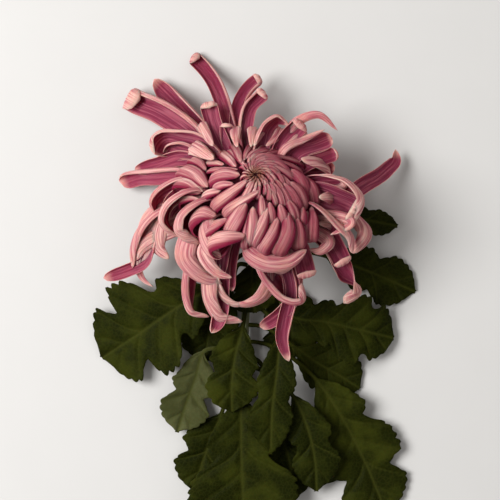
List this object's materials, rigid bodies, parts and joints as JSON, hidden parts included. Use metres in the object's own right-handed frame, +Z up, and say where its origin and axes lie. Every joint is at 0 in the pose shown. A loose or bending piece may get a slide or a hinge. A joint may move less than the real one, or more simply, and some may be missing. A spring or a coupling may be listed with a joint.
{
  "type": "spider chrysanthemum",
  "caption": "Cut spider chrysanthemum lying face up: a domed bloom of incurved florets and long curling outer petals, with lobed leaves along its stem.",
  "frame": {"origin": "middle of the lying flower's footprint, on the surface under it", "axes": "+Y from the cut end of the stem towards the bloom, +Z up from the surface"},
  "size_m": [0.168, 0.295, 0.0704],
  "materials": {
    "petal": "soft matte",
    "bract": "matte",
    "stem": "matte",
    "leaf": "satin"
  },
  "bodies": {
    "root": {"bloom": "petal", "involucre": "bract", "stem": "stem", "leaf_01": "leaf", "leaf_02": "leaf", "leaf_03": "leaf", "leaf_04": "leaf", "leaf_05": "leaf", "leaf_06": "leaf", "leaf_07": "leaf", "leaf_08": "leaf", "leaf_09": "leaf", "leaf_10": "leaf", "leaf_11": "leaf", "leaf_12": "leaf", "leaf_13": "leaf", "leaf_14": "leaf", "leaf_15": "leaf", "leaf_16": "leaf"}
  },
  "joints": []
}
